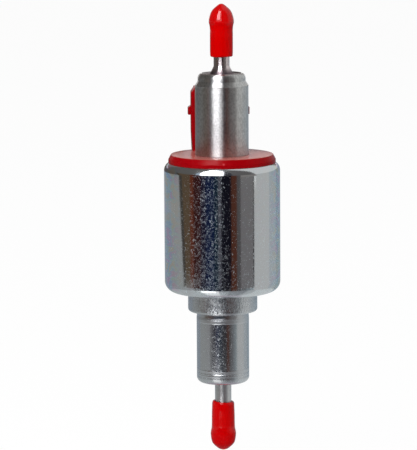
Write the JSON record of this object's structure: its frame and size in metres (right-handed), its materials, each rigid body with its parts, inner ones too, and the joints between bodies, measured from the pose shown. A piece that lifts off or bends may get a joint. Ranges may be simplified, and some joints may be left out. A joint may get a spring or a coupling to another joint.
{
  "type": "heater fuel pump",
  "caption": "Metering fuel pump for a fuel burning vehicle heater: round steel solenoid can, red flange with a plug socket, and a capped hose spigot at each end.",
  "frame": {"origin": "on the pump's axis, halfway up the straight side of the can, where a holding clamp grips it", "axes": "+Z along the pump's axis towards the outlet, +Y from the axis towards the plug socket, +X across the socket"},
  "size_m": [0.035, 0.035, 0.1359],
  "materials": {
    "bright_zinc": "bright zinc plate on drawn steel, glossy",
    "satin_zinc": "satin zinc plate",
    "satin_steel": "satin turned steel",
    "turned_steel": "turned steel tube",
    "red_moulding": "red moulded nylon, satin",
    "red_vinyl": "bright red dip moulded vinyl, glossy and soft",
    "tinned_brass": "tinned brass",
    "brass": "plain brass",
    "black_nylon": "glass filled nylon",
    "copper_wire": "enamelled copper",
    "insulating_film": "amber film",
    "soft_iron": "turned soft magnetic steel",
    "ground_steel": "ground and polished",
    "spring_steel": "drawn wire",
    "black_rubber": "matt",
    "brown_rubber": "fuel proof rubber",
    "white_acetal": "moulded, matt",
    "nylon_mesh": "woven mesh"
  },
  "bodies": {
    "pump": {"magnet_can": "bright_zinc", "pole_collar": "satin_zinc", "inlet_housing": "satin_zinc", "inlet_spigot": "turned_steel", "connector_flange": "red_moulding", "terminal_blades": "tinned_brass", "outlet_barrel": "satin_steel", "outlet_spigot": "turned_steel", "gap_ring": "brass", "coil_bobbin": "black_nylon", "coil_winding": "copper_wire", "winding_sleeve": "insulating_film", "yoke_washer": "soft_iron", "pole_core": "soft_iron", "cylinder_sleeve": "ground_steel", "return_spring": "spring_steel", "rest_buffer": "black_rubber", "stroke_buffer": "black_rubber", "stop_bush": "soft_iron", "filter_frame": "white_acetal", "filter_mesh": "nylon_mesh", "valve_seat": "brass", "valve_spring": "spring_steel", "valve_cage": "white_acetal", "damper_sleeve": "black_rubber", "outlet_o_ring": "black_rubber", "inlet_o_ring": "black_rubber", "seat_o_ring": "black_rubber", "flange_o_ring": "black_rubber", "collar_o_ring": "black_rubber"},
    "plunger": {"armature": "soft_iron", "piston": "ground_steel"},
    "valve_ball": {"valve_ball": "brown_rubber"},
    "outlet_cap": {"outlet_cap": "red_vinyl"},
    "inlet_cap": {"inlet_cap": "red_vinyl"}
  },
  "joints": [
    {"name": "plunger_slide", "type": "slide", "parent": "pump", "child": "plunger", "axis": [0, 0, 1], "range_m": [0, 0.0031], "stiffness_N_per_m": 1975, "springref_m": -0.002, "deforming": ["return_spring"]},
    {"name": "valve_ball_lift", "type": "slide", "parent": "pump", "child": "valve_ball", "axis": [0, 0, 1], "range_m": [0, 0.0008], "stiffness_N_per_m": 3360, "springref_m": -0.0005, "deforming": ["valve_spring"]},
    {"name": "outlet_cap_pull", "type": "slide", "parent": "pump", "child": "outlet_cap", "axis": [0, 0, 1], "range_m": [0, 0.018], "deforming": ["outlet_cap"]},
    {"name": "inlet_cap_pull", "type": "slide", "parent": "pump", "child": "inlet_cap", "axis": [0, 0, -1], "range_m": [0, 0.018], "deforming": ["inlet_cap"]}
  ]
}
